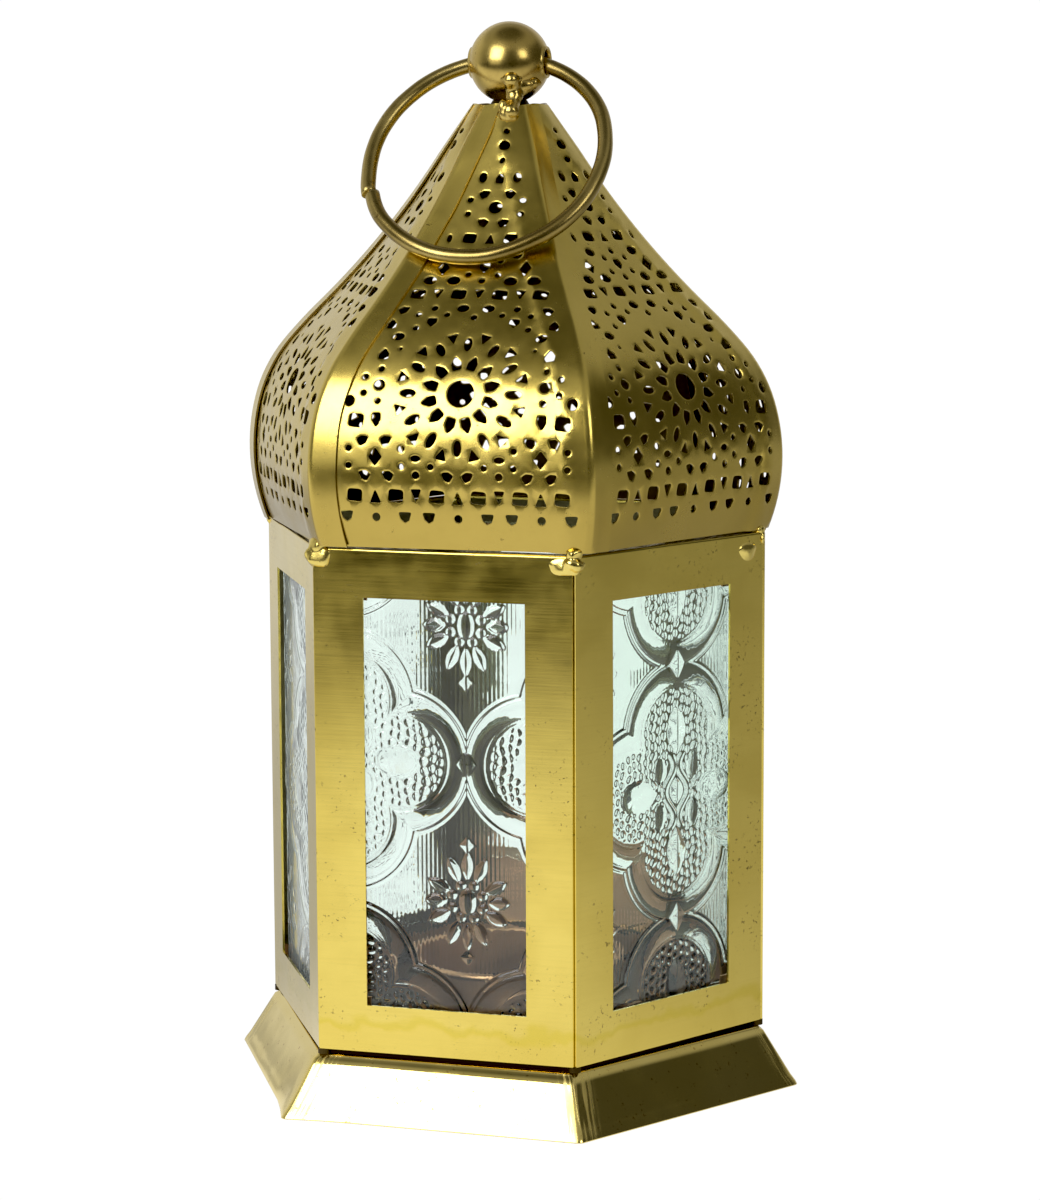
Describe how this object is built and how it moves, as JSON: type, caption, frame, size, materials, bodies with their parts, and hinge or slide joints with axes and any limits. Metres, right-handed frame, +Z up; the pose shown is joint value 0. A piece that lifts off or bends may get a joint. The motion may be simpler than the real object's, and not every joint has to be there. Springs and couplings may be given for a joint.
{
  "type": "candle lantern",
  "caption": "Hexagonal brass candle lantern with embossed glass windows, a hinged door, a pierced ogee dome, a ball finial and a ring handle.",
  "frame": {"origin": "centre of the foot's underside", "axes": "+Z up, front wall faces -Y, door faces +Y, corners of the walls on +X and -X"},
  "size_m": [0.1192, 0.1044, 0.2106],
  "materials": {
    "polished_brass": "mirror polished",
    "wall_brass": "satin, brushed along the height",
    "dome_brass": "satin, pierced",
    "antique_brass": "satin, darkened",
    "brass_inside": "dull, copper brown",
    "solder": "lumpy, plated over",
    "glass": "clear, embossed with quatrefoils and flowers"
  },
  "bodies": {
    "lantern": {"base_floor": "brass_inside", "base_skirt": "polished_brass", "base_solder": "solder", "candle_cup": "brass_inside", "candle_cup_solder": "solder", "dome_panel_back": "dome_brass", "dome_panel_back_left": "dome_brass", "dome_panel_back_right": "dome_brass", "dome_panel_front": "dome_brass", "dome_panel_front_left": "dome_brass", "dome_panel_front_right": "dome_brass", "finial_ball": "antique_brass", "finial_plug": "brass_inside", "finial_solder": "solder", "finial_stem": "antique_brass", "glass_back_left": "glass", "glass_back_right": "glass", "glass_clips": "brass_inside", "glass_front": "glass", "glass_front_left": "glass", "glass_front_right": "glass", "hinge_pins": "antique_brass", "hinge_plates": "antique_brass", "latch_pin": "antique_brass", "roof_solder": "solder", "wall_back": "wall_brass", "wall_back_left": "wall_brass", "wall_back_right": "wall_brass", "wall_front": "wall_brass", "wall_front_left": "wall_brass", "wall_front_right": "wall_brass"},
    "door": {"door_leaf": "wall_brass", "door_glass": "glass", "door_glass_clips": "brass_inside", "door_knob": "antique_brass"},
    "latch": {"latch_button": "antique_brass"},
    "ring": {"ring_handle": "antique_brass"}
  },
  "joints": [
    {"name": "ring_swing", "type": "hinge", "parent": "lantern", "child": "ring", "pos_m": [0, 0, 0.2026], "axis": [-1, 0, 0], "range_deg": [0, 283]},
    {"name": "door_hinge", "type": "hinge", "parent": "lantern", "child": "door", "pos_m": [-0.0233, 0.04658, 0.06], "axis": [0, 0, 1], "range_deg": [0, 110]},
    {"name": "latch_turn", "type": "hinge", "parent": "lantern", "child": "latch", "pos_m": [0.0238, 0.04633, 0.08], "axis": [0, 1, 0], "continuous": true}
  ]
}
